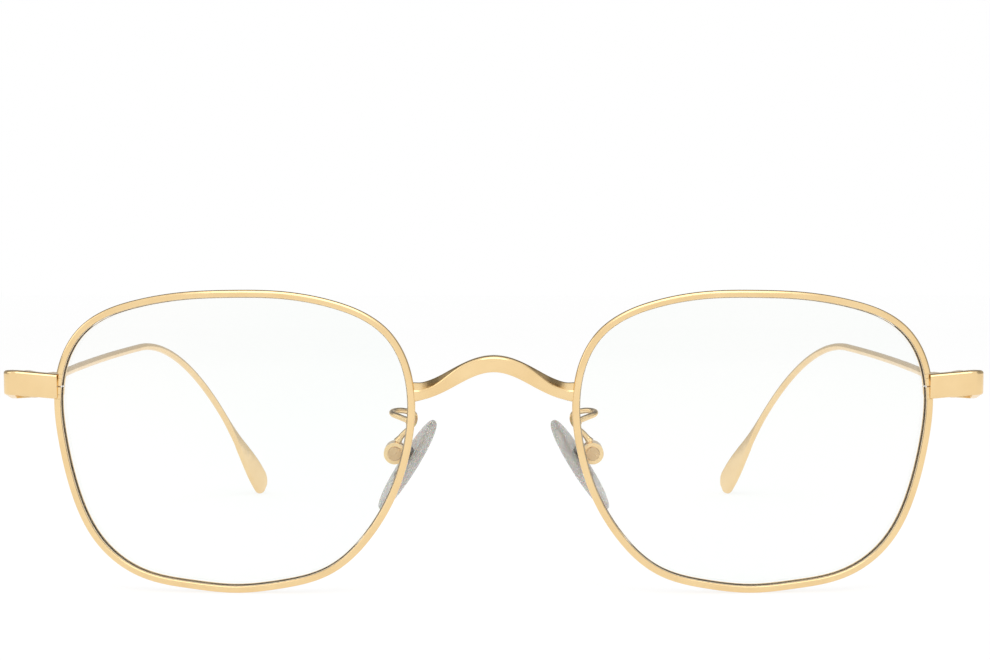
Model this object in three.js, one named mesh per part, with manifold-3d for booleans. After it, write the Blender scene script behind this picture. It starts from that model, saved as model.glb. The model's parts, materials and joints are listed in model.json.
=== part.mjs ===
// Eyeglasses with thin gold rims, a saddle bridge, adjustable nose pads and wire temples with
// flattened tips. Millimetres, +Z up. The front faces -Y, the temples are open and run to +Y,
// and the glasses stand on a table on the two rims and the two temple tips.
// "left" and "right" are the wearer's: the left side is +X.
import * as THREE from "three";
import { mergeVertices } from "three/addons/utils/BufferGeometryUtils.js";
import Module from "manifold-3d";

const wasm = await Module();
wasm.setup();

// ---------------------------------------------------------------- driving dimensions
const LENS_WIDTH = 48.1; // box of the rim's centreline, side to side
const LENS_HEIGHT = 40.2; // box of the rim's centreline, bottom to top
// Radii of the lens shape from its box centre, every 18 degrees, starting at the temple side and
// going up: the trace that a lens is cut to, for a box of TRACE_WIDTH by TRACE_HEIGHT.
const TRACE = [23.6, 25.2, 25.5, 22.9, 20.8, 20.1, 21.0, 23.1, 25.4, 25.0,
  23.5, 22.5, 22.0, 21.6, 20.4, 20.1, 20.6, 22.4, 23.3, 23.1];
const TRACE_WIDTH = 48.1;
const TRACE_HEIGHT = 40.2;
const RIM_SPACING = 22.4; // between the rims' centrelines at the nose
const BASE_CURVE = 125; // radius that the lenses and rims are curved to
const WRAP = 4; // degrees that each lens is turned back at the temple
const LEAN = 5; // degrees that the front leans forward when it stands

const RIM_WIDTH = 1.04; // rim wire, seen from the front
const RIM_DEPTH = 1.9; // rim wire, front to back
const GROOVE_DEPTH = 0.38; // V-groove in the rim
const GROOVE_WIDTH = 0.92;
const LENS_THICKNESS = 1.7;
const LENS_CLEARANCE = 0.1; // between the lens and its rim

const LOCK_HEIGHT = 7.3; // closing joint of the rim, above the lens box centre
const BLOCK_HEIGHT = 3.4; // the two closing blocks together
const BLOCK_WIDTH = 3.3;
const BLOCK_DEPTH = 4.1;
const FOOT_REACH = 1.2; // each block's foot behind the end piece, above or below the joint
const FOOT_INSET = 1.05; // foot's inner back corner, outward from the lens's edge
const BLOCK_GAP = 0.16; // between the two closing blocks
const LOCK_SCREW_RADIUS = 0.55;
const LOCK_HEAD_RADIUS = 0.95;
const LOCK_HEAD_HEIGHT = 0.35;

const END_REACH = 7.84; // from the rim's centreline out to the end piece's outer face
const STRAP_HEIGHT = 3.4; // end piece, bottom to top
const STRAP_THICKNESS = 1.3;
const STRAP_BEVEL = 0.38;
const STRAP_CORNER = 1.5; // bend radius of the end piece's centreline
const STRAP_RISE = 0.5; // how far the end piece climbs on its way out to the corner
const STRAP_LAP = 0.3; // how far the end piece laps over the closing blocks
const STRAP_CLEAR = 0.12; // between the end piece and the block that isn't part of it
const STRAP_STAND = 0.25; // how far the end piece stands in front of the rim
const HINGE_BACK = 6.4; // from the end piece's front centreline back to the hinge pin
const HINGE_DROP = 0.75; // hinge pin's middle below the closing joint
const HINGE_INSET = 2.4; // from the end piece's side centreline in to the hinge pin

const KNUCKLE_RADIUS = 1.2;
const KNUCKLE_HEIGHT = 0.98;
const KNUCKLE_GAP = 0.06;
const HINGE_PIN_RADIUS = 0.6;
const HINGE_HEAD_RADIUS = 1.0;
const HINGE_HEAD_HEIGHT = 0.3;
const SCREW_SLOT = 0.15; // depth of the slot in a screw's head
const BORE_CLEARANCE = 0.06;
const STOP_GAP = 0.1; // between the end piece and the open temple

const TEMPLE_RISE = 2.6; // degrees that the straight of an open temple climbs
const TEMPLE_STRAIGHT = 75.5; // hinge pin to the start of the bend
const TEMPLE_BEND_RADIUS = 57;
const TEMPLE_BEND = 47.5; // degrees
const TEMPLE_BEND_LEAN = 14.5; // degrees that the bend's plane leans in to the head
const TEMPLE_TIP = 20.5; // straight after the bend
const TEMPLE_WIRE = 1.2; // diameter
const TEMPLE_BUTT_HEIGHT = 3.4;
const TEMPLE_BUTT_THICKNESS = 1.2;
const TEMPLE_WIRE_INSET = 1.6; // from the butt's centreline in to the wire's
const TEMPLE_BOW = 3; // how far the wire comes in before the bend
const TEMPLE_DIP = 0.5; // from the butt's centreline down to the wire's
const TEMPLE_TWIST = 15; // degrees that the tip's flat is turned towards the front
const PADDLE_WIDTH = 5;
const PADDLE_THICKNESS = 0.9;
const PADDLE_LENGTH = 15;

const BRIDGE_HEIGHT = 2.25; // band, bottom edge to top edge
const BRIDGE_THICKNESS = 1.5;
const BRIDGE_END_ABOVE = 6.9; // band's ends, above the lens box centre
const BRIDGE_RISE = 4.15; // crest above the ends
const BRIDGE_FORWARD = 2.2; // crest in front of the ends
const BRIDGE_FLARE = 0.3; // extra height at each end, where it is brazed
const BRIDGE_BEVEL = [0.35, 1.15]; // slope on the band's upper front edge, at the crest and ends

const PAD_LENGTH = 14.5;
const PAD_WIDTH = 6.8;
const PAD_THICKNESS = 1.9;
const PAD_SLANT = 32.3; // degrees from upright, seen from the front
const PAD_SPLAY = 11; // degrees, seen from above
const PAD_BESIDE = 0.72; // pad centre, outward from the edge of the lens box
const PAD_BEHIND = 8.9; // and behind the rim's centreline
const PAD_BELOW = 4.42; // and below the lens box centre
const PAD_BOX_RADIUS = 1.5;
const PAD_BOX_UP = 0.7; // and up the pad's length
const PAD_BOX_LENGTH = 2.4;
const PAD_BOX_OUT = 2.6; // from the pad's centre back to the box, along the pad's normal
const PAD_SLOT = 0.78;
const PAD_TAB_THICKNESS = 0.6;
const PAD_TAB_HEIGHT = 2.1;
const PAD_PLATE_LENGTH = 4.6;
const PAD_PLATE_WIDTH = 2.2;
const PAD_PLATE_THICKNESS = 0.4;
const PAD_SCREW_RADIUS = 0.42;
const PAD_SCREW_HEAD_RADIUS = 0.95;
const PAD_SCREW_HEAD_HEIGHT = 0.4;
const ARM_WIRE = 0.8; // diameter
const ARM_FOOT_ABOVE = 2.75; // solder foot, above the lens box centre
const SEAT_GAP = 0.03; // between two pieces that are brazed or pressed together
const END_GAP = 0.12; // between the rim's slanted ends and the closing blocks

const AROUND_LENS = 64;
const ROUND = 20; // sides of a small round

// ---------------------------------------------------------------- small helpers
const rad = THREE.MathUtils.degToRad;
const smooth = (t) => THREE.MathUtils.smoothstep(t, 0, 1);
const V = (x, y, z) => new THREE.Vector3(x, y, z);

// One closed surface as a manifold solid, for booleans.
function solid(geometry) {
  const bare = geometry.index ? geometry.toNonIndexed() : geometry.clone();
  bare.deleteAttribute("normal");
  bare.deleteAttribute("uv");
  const merged = mergeVertices(bare, 1e-4);
  return new wasm.Manifold(new wasm.Mesh({
    numProp: 3,
    vertProperties: new Float32Array(merged.attributes.position.array),
    triVerts: new Uint32Array(merged.index.array),
  }));
}

function geometryOf(manifold) {
  const mesh = manifold.getMesh();
  const geometry = new THREE.BufferGeometry();
  geometry.setAttribute("position", new THREE.Float32BufferAttribute(mesh.vertProperties, 3));
  geometry.setIndex([...mesh.triVerts]);
  return geometry;
}

const union = (...parts) => geometryOf(wasm.Manifold.union(parts.map(solid)));
const cut = (body, ...tools) =>
  geometryOf(wasm.Manifold.difference([solid(body), ...tools.map(solid)]));

function box(x0, x1, y0, y1, z0, z1) {
  return new THREE.BoxGeometry(x1 - x0, y1 - y0, z1 - z0)
    .translate((x0 + x1) / 2, (y0 + y1) / 2, (z0 + z1) / 2);
}

// Upright rod on the axis x, y.
function rod(radius, z0, z1, x = 0, y = 0) {
  return new THREE.CylinderGeometry(radius, radius, z1 - z0, ROUND)
    .rotateX(Math.PI / 2).translate(x, y, (z0 + z1) / 2);
}

// Flat plate: an outline of [x, y] points between two heights.
function plate(outline, z0, z1) {
  const shape = new THREE.Shape(outline.map(([x, y]) => new THREE.Vector2(x, y)));
  return new THREE.ExtrudeGeometry(shape, { depth: z1 - z0, bevelEnabled: false })
    .translate(0, 0, z0);
}

// Closed skin through rings of equal length. Open rows of rings are capped with a fan, and the
// rings run counter-clockwise when seen from the last ring.
function skin(rings, closed = false) {
  const per = rings[0].length;
  const positions = rings.flat().flatMap((p) => [p.x, p.y, p.z]);
  const index = [];
  const rows = closed ? rings.length : rings.length - 1;
  for (let i = 0; i < rows; i++)
    for (let j = 0; j < per; j++) {
      const [a, b] = [i * per + j, i * per + ((j + 1) % per)];
      const next = ((i + 1) % rings.length) * per;
      const [c, d] = [next + j, next + ((j + 1) % per)];
      index.push(a, b, d, a, d, c);
    }
  if (!closed)
    for (const [row, turn] of [[0, 1], [rings.length - 1, -1]]) {
      const middle = rings[row].reduce((m, p) => m.add(p), V(0, 0, 0)).divideScalar(per);
      const pole = positions.length / 3;
      positions.push(middle.x, middle.y, middle.z);
      for (let j = 0; j < per; j++) {
        const [a, b] = [row * per + j, row * per + ((j + 1) % per)];
        index.push(...(turn > 0 ? [pole, b, a] : [pole, a, b]));
      }
    }
  const geometry = new THREE.BufferGeometry();
  geometry.setAttribute("position", new THREE.Float32BufferAttribute(positions, 3));
  geometry.setIndex(index);
  return geometry;
}

// Ring of section points [a, b] at a frame { p, a, b }.
const ring = ({ p, a, b }, section) =>
  section.map(([s, t]) => p.clone().addScaledVector(a, s).addScaledVector(b, t));

// Rounded rectangle of half sizes w and h, counter-clockwise, with four points on each corner.
function roundedSection(w, h, corner) {
  const r = Math.min(corner, 0.9 * w, 0.9 * h);
  const points = [];
  for (const [sx, sy, start] of [[1, 1, 0], [-1, 1, 90], [-1, -1, 180], [1, -1, 270]])
    for (let k = 0; k <= 3; k++) {
      const angle = rad(start + 30 * k);
      points.push([sx * (w - r) + r * Math.cos(angle), sy * (h - r) + r * Math.sin(angle)]);
    }
  return points;
}

// Outline with each corner replaced by a curve that leaves the two edges at a distance from it.
function softened(corners, cutBack) {
  return corners.flatMap((corner, i) => {
    const towards = [corners.at(i - 1), corners[(i + 1) % corners.length]].map((other) => {
      const [x, y] = [other[0] - corner[0], other[1] - corner[1]];
      const share = Math.min(0.45, cutBack / Math.hypot(x, y));
      return [corner[0] + share * x, corner[1] + share * y];
    });
    return [0, 1 / 3, 2 / 3, 1].map((t) => [0, 1].map((k) =>
      (1 - t) ** 2 * towards[0][k] + 2 * t * (1 - t) * corner[k] + t * t * towards[1][k]));
  });
}

// The same shape on the other side of the nose.
function mirrored(geometry) {
  const other = geometry.index ? geometry.clone() : mergeVertices(geometry, 1e-4);
  other.scale(-1, 1, 1);
  const index = other.index.array;
  for (let i = 0; i < index.length; i += 3) [index[i], index[i + 1]] = [index[i + 1], index[i]];
  return other;
}

// ---------------------------------------------------------------- materials
const finish = (color, metalness, roughness, extra = {}) => () =>
  new THREE.MeshStandardMaterial({ color, metalness, roughness, ...extra });
const gold = finish(0xe9c48c, 1, 0.22);
const goldScrew = finish(0xdcb478, 1, 0.3);
const steel = finish(0x8d8a88, 1, 0.35);
const silicone = finish(0xb9bab6, 0, 0.35, { transparent: true, opacity: 0.75 });
const clearLens = finish(0xeef4ef, 0, 0.05, { transparent: true, opacity: 0.2 });

// ---------------------------------------------------------------- the lens shape
const LENS_CENTRE_X = RIM_SPACING / 2 + (LENS_WIDTH / 2) * Math.cos(rad(WRAP));
const LENS_CENTRE_Z = LENS_HEIGHT / 2 + RIM_WIDTH / 2;

// Smooth closed curve through the trace radii: a periodic cubic, solved once for its slopes.
const traceSlopes = (() => {
  const n = TRACE.length;
  let slopes = TRACE.map(() => 0);
  for (let pass = 0; pass < 60; pass++)
    slopes = slopes.map((_, i) => {
      const [before, after] = [(i + n - 1) % n, (i + 1) % n];
      return (3 * (TRACE[after] - TRACE[before]) - slopes[before] - slopes[after]) / 4;
    });
  return slopes;
})();

function traceRadius(angle) {
  const n = TRACE.length;
  const turn = ((angle / (2 * Math.PI)) % 1 + 1) % 1 * n;
  const i = Math.floor(turn) % n;
  const j = (i + 1) % n;
  const t = turn - Math.floor(turn);
  return TRACE[i] * (1 + 2 * t) * (1 - t) ** 2 + traceSlopes[i] * t * (1 - t) ** 2 +
    TRACE[j] * t * t * (3 - 2 * t) + traceSlopes[j] * t * t * (t - 1);
}

// Point of the rim's centreline in the lens's own plane, u towards the temple and v up.
function outline(angle) {
  const r = traceRadius(angle);
  return [r * Math.cos(angle) * LENS_WIDTH / TRACE_WIDTH,
    r * Math.sin(angle) * LENS_HEIGHT / TRACE_HEIGHT];
}

// From the lens plane onto the curved, wrapped front: depth is behind the base curve.
function onFront(u, v, depth = 0) {
  const normal = V(-u / BASE_CURVE, 1, -v / BASE_CURVE).normalize();
  const p = V(u, (u * u + v * v) / (2 * BASE_CURVE), v).addScaledVector(normal, depth);
  return p.applyAxisAngle(V(0, 0, 1), rad(WRAP)).add(V(LENS_CENTRE_X, 0, LENS_CENTRE_Z));
}

// Frame on the rim's centreline: a points out of the lens, b to the back.
function rimFrame(angle) {
  const step = 1e-3;
  const [u, v] = outline(angle);
  const along = onFront(...outline(angle + step)).sub(onFront(...outline(angle - step)));
  const b = onFront(u, v, 1).sub(onFront(u, v));
  const a = b.clone().cross(along).normalize();
  return { p: onFront(u, v), a, b };
}

// Angle at the temple side where the rim's centreline stands at a height above the box centre.
function templeAngle(height) {
  let [low, high] = [rad(-40), rad(40)];
  for (let i = 0; i < 40; i++) {
    const middle = (low + high) / 2;
    if (outline(middle)[1] < height) low = middle;
    else high = middle;
  }
  return low;
}

// Section carried round part of the rim, from one angle to another.
function alongRim(section, from, to, steps) {
  const rings = [];
  for (let i = 0; i <= steps; i++)
    rings.push(ring(rimFrame(from + (to - from) * (i / steps)), section));
  return skin(rings);
}

// The rim's section with nothing cut from it, grown by a clearance.
const rimBar = (grow) => roundedSection(RIM_WIDTH / 2 + grow, RIM_DEPTH / 2 + grow, 0.3);

// All that lies inside the rim's inner face, and the V-groove: what a block leaves for the lens.
const grooveCutter = [
  [-3, -2], [-RIM_WIDTH / 2, -2], [-RIM_WIDTH / 2, -GROOVE_WIDTH / 2],
  [-RIM_WIDTH / 2 + GROOVE_DEPTH, 0], [-RIM_WIDTH / 2, GROOVE_WIDTH / 2],
  [-RIM_WIDTH / 2, RIM_DEPTH / 2], [0, RIM_DEPTH / 2 + 0.5], [0, 6], [-3, 6]];

// ---------------------------------------------------------------- rims and lenses
const LOCK_ANGLES = [-1, 1].map((side) =>
  templeAngle(LOCK_HEIGHT + side * (Math.max(BLOCK_HEIGHT, STRAP_HEIGHT) / 2 + END_GAP)));

// Grooved wire, open at the temple side where the closing blocks take over.
function rimGeometry() {
  const [w, d] = [RIM_WIDTH / 2, RIM_DEPTH / 2];
  const section = [
    [w, -d + 0.45], [w, d - 0.45], [w - 0.12, d - 0.13], [w - 0.42, d], [-w + 0.12, d],
    [-w, d - 0.12], [-w, GROOVE_WIDTH / 2], [-w + GROOVE_DEPTH, 0], [-w, -GROOVE_WIDTH / 2],
    [-w, -d + 0.12], [-w + 0.12, -d], [w - 0.42, -d], [w - 0.12, -d + 0.13]];
  return alongRim(section, LOCK_ANGLES[1], LOCK_ANGLES[0] + 2 * Math.PI, AROUND_LENS);
}

// Curved lens with a V-bevel round its edge.
function lensGeometry() {
  const edge = RIM_WIDTH / 2 + LENS_CLEARANCE;
  const bevel = GROOVE_DEPTH;
  const half = LENS_THICKNESS / 2;
  const rows = [ // share of the way from the centre, inset from the centreline, depth
    [0.08, 0, -half], [0.4, 0, -half], [0.72, 0, -half], [1, edge, -half], [1, edge, -bevel],
    [1, edge - bevel, 0], [1, edge, bevel], [1, edge, half], [0.72, 0, half], [0.4, 0, half],
    [0.08, 0, half]];
  const rings = rows.map(([share, inset, depth]) => {
    const points = [];
    for (let i = 0; i < AROUND_LENS; i++) {
      const angle = -2 * Math.PI * i / AROUND_LENS;
      const [u, v] = outline(angle);
      const [u1, v1] = outline(angle + 1e-3);
      const [u0, v0] = outline(angle - 1e-3);
      const length = Math.hypot(u1 - u0, v1 - v0);
      points.push(onFront(share * u - inset * (v1 - v0) / length,
        share * v + inset * (u1 - u0) / length, depth));
    }
    return points;
  });
  return skin(rings);
}

// ---------------------------------------------------------------- frames of the end piece
const [LOCK_U, LOCK_V] = outline(templeAngle(LOCK_HEIGHT));
const LOCK_POINT = onFront(LOCK_U, LOCK_V);
const STRAP_X = LOCK_POINT.x + END_REACH - STRAP_THICKNESS / 2;
const STRAP_Y = LOCK_POINT.y - RIM_DEPTH / 2 - STRAP_STAND + STRAP_THICKNESS / 2;

const front = new THREE.Group();
front.name = "front";
front.rotation.x = rad(LEAN);
front.updateMatrix();

const pivotFront = V(STRAP_X - HINGE_INSET, STRAP_Y + HINGE_BACK, LOCK_POINT.z);
const PIVOT = pivotFront.clone().applyMatrix4(front.matrix);
PIVOT.z -= HINGE_DROP;

// Group at one hinge pin, tipped so that the open temple runs along its +Y.
function hingeGroup(side, name) {
  const group = new THREE.Group();
  group.name = name;
  group.position.set(side * PIVOT.x, PIVOT.y, PIVOT.z);
  group.rotation.x = rad(TEMPLE_RISE);
  group.updateMatrix();
  return group;
}
const intoHinge = hingeGroup(1, "").matrix.invert().multiply(front.matrix);

// Closing block above (side 1) or below (side -1) the joint, in the front's frame: a length of
// the rim's own section, and a lower foot that runs back and out behind the end piece.
function blockGeometry(side) {
  const turn = new THREE.Matrix4().makeRotationZ(rad(WRAP))
    .setPosition(LENS_CENTRE_X, 0, LENS_CENTRE_Z);
  const y = LOCK_POINT.clone().applyMatrix4(turn.clone().invert()).y;
  const [w, d] = [RIM_WIDTH / 2, RIM_DEPTH / 2];
  const [inner, outer, back] = [LOCK_U - w, LOCK_U - w + BLOCK_WIDTH, y - d + BLOCK_DEPTH];
  const span = (reach) => [BLOCK_GAP / 2, reach].map((z) => LOCK_HEIGHT + side * z)
    .sort((a, b) => a - b);
  const strip = box(inner, LOCK_U + w, y - d, y + d, ...span(BLOCK_HEIGHT / 2));
  const foot = plate([[inner, y - 0.2], [outer, y - 0.2], [outer, back],
    [inner + FOOT_INSET, back], [inner, y + d]], ...span(FOOT_REACH));
  return union(strip, foot).applyMatrix4(turn);
}

const lensRoom = () => alongRim(grooveCutter, LOCK_ANGLES[0] - 0.1, LOCK_ANGLES[1] + 0.1, 12);
const LOCK_X = LOCK_POINT.x + BLOCK_WIDTH - RIM_WIDTH / 2 - 1.3;
const LOCK_Y = STRAP_Y + STRAP_THICKNESS / 2 + 1.6;

// Closing screw, upright through both blocks, its head under the lower one.
function lockScrewGeometry() {
  const [low, high] = [LOCK_POINT.z - FOOT_REACH, LOCK_POINT.z + FOOT_REACH];
  const shank = rod(LOCK_SCREW_RADIUS, low - LOCK_HEAD_HEIGHT / 2, high + 0.1, LOCK_X, LOCK_Y);
  const head = rod(LOCK_HEAD_RADIUS, low - LOCK_HEAD_HEIGHT, low - SEAT_GAP, LOCK_X, LOCK_Y);
  const slot = box(LOCK_X - 2, LOCK_X + 2, LOCK_Y - 0.12, LOCK_Y + 0.12,
    low - LOCK_HEAD_HEIGHT - 1, low - LOCK_HEAD_HEIGHT + SCREW_SLOT);
  return cut(union(shank, head), slot);
}
const lockBore = () => rod(LOCK_SCREW_RADIUS + BORE_CLEARANCE, LOCK_POINT.z - 5,
  LOCK_POINT.z + 5, LOCK_X, LOCK_Y);

// Upper closing block, on the rim's upper end, stepped to clear the end piece in front of it.
const STRAP_INNER = LOCK_POINT.x + RIM_WIDTH / 2 - STRAP_LAP;

function upperBlockGeometry() {
  const step = box(STRAP_INNER - STRAP_CLEAR, LOCK_POINT.x + 9, STRAP_Y - 5,
    STRAP_Y + STRAP_THICKNESS / 2 + STRAP_CLEAR, LOCK_POINT.z - 6, LOCK_POINT.z + 6);
  return cut(blockGeometry(1), step, lensRoom(), lockBore());
}

// ---------------------------------------------------------------- end piece
// Flat strap that runs out from the rim, turns back in a round corner and ends at the hinge. Its
// upright leans with the front at one end and with the hinge at the other.
function strapGeometry() {
  const out = STRAP_X - STRAP_CORNER;
  const corner = [out, STRAP_Y + STRAP_CORNER];
  const plan = [[STRAP_INNER, STRAP_Y, 0, -1], [(STRAP_INNER + out) / 2, STRAP_Y, 0, -1]];
  for (let k = 0; k <= 6; k++) {
    const angle = rad(-90 + 15 * k);
    const [c, s] = [Math.cos(angle), Math.sin(angle)];
    plan.push([corner[0] + STRAP_CORNER * c, corner[1] + STRAP_CORNER * s, c, s]);
  }
  const end = STRAP_Y + HINGE_BACK - 0.75;
  plan.push([STRAP_X, (corner[1] + end) / 2, 1, 0], [STRAP_X, end, 1, 0]);
  const section = roundedSection(STRAP_THICKNESS / 2, STRAP_HEIGHT / 2, STRAP_BEVEL);
  const rings = plan.map(([x, y, nx, ny]) => {
    const along = smooth((y - STRAP_Y) / (end - STRAP_Y));
    const climb = STRAP_RISE * Math.min(1, (x - STRAP_INNER) / (out - STRAP_INNER));
    const onLean = V(x, y, LOCK_POINT.z + climb).applyMatrix4(intoHinge);
    const onHinge = V(x - pivotFront.x, y - pivotFront.y, 0);
    const p = onLean.lerp(onHinge, along);
    const tip = rad((LEAN - TEMPLE_RISE) * (1 - along));
    const up = V(0, -Math.sin(tip), Math.cos(tip));
    return ring({ p, a: V(nx, ny * Math.cos(tip), ny * Math.sin(tip)), b: up }, section);
  });
  return skin(rings.reverse());
}

// Ear outlines in plan, hinge pin at the origin: a round and a web to the strap or the temple.
const EAR_REACH = HINGE_INSET - STRAP_THICKNESS / 2 + 0.1;
const KNUCKLE_TOP = 1.5 * KNUCKLE_HEIGHT + KNUCKLE_GAP;

function earGeometry(z0, z1) {
  const web = plate([[-0.75 * KNUCKLE_RADIUS, -0.66 * KNUCKLE_RADIUS], [EAR_REACH, -3],
    [EAR_REACH, -0.8], [0.5 * KNUCKLE_RADIUS, 0.85 * KNUCKLE_RADIUS]], z0, z1);
  return union(rod(KNUCKLE_RADIUS, z0, z1), web);
}

const pinBore = () => rod(HINGE_PIN_RADIUS + BORE_CLEARANCE, -4, 4);

// Strap, lower closing block and the two outer knuckles, in the hinge's frame.
function endPieceGeometry() {
  const block = cut(blockGeometry(-1), lensRoom(), lockBore()).applyMatrix4(intoHinge);
  const lower = earGeometry(-KNUCKLE_TOP, -KNUCKLE_HEIGHT / 2 - KNUCKLE_GAP);
  const upper = earGeometry(KNUCKLE_HEIGHT / 2 + KNUCKLE_GAP, KNUCKLE_TOP);
  return cut(union(strapGeometry(), block, lower, upper), pinBore());
}

// Hinge pin screw: slotted head on top, plain end below.
function hingeScrewGeometry() {
  const shank = rod(HINGE_PIN_RADIUS, -KNUCKLE_TOP - 0.1, KNUCKLE_TOP + 0.5 * HINGE_HEAD_HEIGHT);
  const head = rod(HINGE_HEAD_RADIUS, KNUCKLE_TOP + SEAT_GAP, KNUCKLE_TOP + HINGE_HEAD_HEIGHT);
  const slot = box(-2, 2, -0.13, 0.13, KNUCKLE_TOP + HINGE_HEAD_HEIGHT - SCREW_SLOT, KNUCKLE_TOP + 2);
  return cut(union(shank, head), slot);
}

// ---------------------------------------------------------------- temple
// Centreline in the hinge's frame: straight with a slight bow, a bend, and a straight tip.
function templePath() {
  const points = [];
  const start = -0.75 + STOP_GAP;
  const sway = (y) => HINGE_INSET - TEMPLE_WIRE_INSET * smooth((y - 3) / 20) -
    TEMPLE_BOW * Math.max(0, (y - 30) / (TEMPLE_STRAIGHT - 30)) ** 2;
  const dip = (y) => -TEMPLE_DIP * smooth((y - 3) / 20);
  for (const y of [start, 1.6, 4, 5.5, 7, 8.5, 10, 11.5, 13, 15, 17.5, 20, 23, 30, 42, 54, 66,
    70]) points.push(V(sway(y), y, dip(y)));
  const from = V(sway(TEMPLE_STRAIGHT), TEMPLE_STRAIGHT, -TEMPLE_DIP);
  const t = from.clone().sub(V(sway(TEMPLE_STRAIGHT - 1), TEMPLE_STRAIGHT - 1, -TEMPLE_DIP))
    .normalize();
  const lean = rad(TEMPLE_BEND_LEAN);
  const n = V(-Math.sin(lean), 0, -Math.cos(lean));
  n.addScaledVector(t, -n.dot(t)).normalize();
  const centre = from.clone().addScaledVector(n, TEMPLE_BEND_RADIUS);
  const bends = 10;
  for (let k = 0; k <= bends; k++) {
    const angle = rad(TEMPLE_BEND) * k / bends;
    points.push(centre.clone().addScaledVector(n, -TEMPLE_BEND_RADIUS * Math.cos(angle))
      .addScaledVector(t, TEMPLE_BEND_RADIUS * Math.sin(angle)));
  }
  const last = points.at(-1).clone();
  const away = t.clone().multiplyScalar(Math.cos(rad(TEMPLE_BEND)))
    .addScaledVector(n, Math.sin(rad(TEMPLE_BEND)));
  const flat = TEMPLE_TIP - PADDLE_LENGTH;
  const stops = [0.3 * flat, 0.55 * flat, 0.75 * flat, 0.9 * flat, flat];
  for (const d of [0.12, 0.25, 0.4, 0.55, 0.7, 0.82, 0.9, 0.95, 0.985, 1])
    stops.push(flat + d * PADDLE_LENGTH);
  for (const d of stops) points.push(last.clone().addScaledVector(away, d));
  return points;
}

// Half thickness and half height of the temple, at a distance from its butt and from its tip.
function templeSection(fromButt, fromTip) {
  const wire = TEMPLE_WIRE / 2;
  const slim = smooth((fromButt - 5) / 12);
  let half = [THREE.MathUtils.lerp(TEMPLE_BUTT_THICKNESS / 2, wire, slim),
    THREE.MathUtils.lerp(TEMPLE_BUTT_HEIGHT / 2, wire, slim)];
  const spread = 1 - smooth((fromTip - 4) / (PADDLE_LENGTH + 4));
  half = [THREE.MathUtils.lerp(half[0], PADDLE_THICKNESS / 2, spread),
    THREE.MathUtils.lerp(half[1], PADDLE_WIDTH / 2, spread)];
  const round = PADDLE_WIDTH / 2;
  if (fromTip < round) half[1] *= Math.sqrt(Math.max(0.02, 1 - (1 - fromTip / round) ** 2));
  return [...half, spread];
}

function templeGeometry() {
  const path = templePath();
  const lengths = [0];
  for (let i = 1; i < path.length; i++)
    lengths.push(lengths[i - 1] + path[i].distanceTo(path[i - 1]));
  const whole = lengths.at(-1);
  const rings = path.map((p, i) => {
    const t = path[Math.min(i + 1, path.length - 1)].clone()
      .sub(path[Math.max(i - 1, 0)]).normalize();
    if (i === 0) t.set(0, 1, 0);
    const [w, h, spread] = templeSection(lengths[i], whole - lengths[i]);
    const a = V(1, 0, 0).addScaledVector(t, -t.x).normalize()
      .applyAxisAngle(t, -rad(TEMPLE_TWIST) * spread);
    const b = t.clone().cross(a);
    return ring({ p, a, b }, roundedSection(w, h, 0.55));
  });
  const z = KNUCKLE_HEIGHT / 2;
  const web = plate([[0.5 * KNUCKLE_RADIUS, -0.85 * KNUCKLE_RADIUS], [EAR_REACH, -0.55],
    [EAR_REACH, 3.4], [-0.75 * KNUCKLE_RADIUS, 0.66 * KNUCKLE_RADIUS]], -z, z);
  return cut(union(skin(rings), rod(KNUCKLE_RADIUS, -z, z), web), pinBore());
}

// ---------------------------------------------------------------- bridge
// Saddle-shaped band: its centreline is a raised cosine, up and forward, between the rims.
function bridgeGeometry() {
  const nose = (() => {
    let best = null;
    for (let k = 0; k < 400; k++) {
      const [u, v] = outline(rad(150 + 60 * k / 400));
      if (!best || Math.abs(v - BRIDGE_END_ABOVE) < Math.abs(best[1] - BRIDGE_END_ABOVE))
        best = [u, v];
    }
    return onFront(...best);
  })();
  const reach = nose.x;
  const steps = 36;
  const rings = [];
  const at = (s) => {
    const x = reach * s;
    const hump = (1 + Math.cos(Math.PI * s)) / 2;
    return V(x, nose.y - BRIDGE_FORWARD * hump ** 0.8, nose.z + BRIDGE_RISE * hump);
  };
  for (let i = 0; i <= steps; i++) {
    const s = -1 + 2 * i / steps;
    const t = at(s + 0.001).sub(at(s - 0.001)).normalize();
    const up = V(0, 0, 1).addScaledVector(t, -t.z).normalize();
    const flare = BRIDGE_FLARE * smooth((Math.abs(s) - 0.84) / 0.16);
    const bevel = THREE.MathUtils.lerp(...BRIDGE_BEVEL, smooth((Math.abs(s) - 0.3) / 0.5));
    const [w, h] = [BRIDGE_THICKNESS / 2, (BRIDGE_HEIGHT + flare) / 2];
    const section = softened([[w, h], [-w + bevel, h], [-w, h - 0.9 * bevel], [-w, -h], [w, -h]],
      0.3);
    rings.push(ring({ p: at(s), a: up.clone().cross(t), b: up }, section));
  }
  const bars = [1, -1].map((side) => {
    const bar = alongRim(rimBar(SEAT_GAP), rad(150), rad(210), 16);
    return side > 0 ? bar : mirrored(bar);
  });
  return cut(skin(rings), ...bars);
}

// ---------------------------------------------------------------- nose pads
const PAD_CENTRE = V(RIM_SPACING / 2 + PAD_BESIDE, PAD_BEHIND, LENS_CENTRE_Z - PAD_BELOW);

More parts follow.
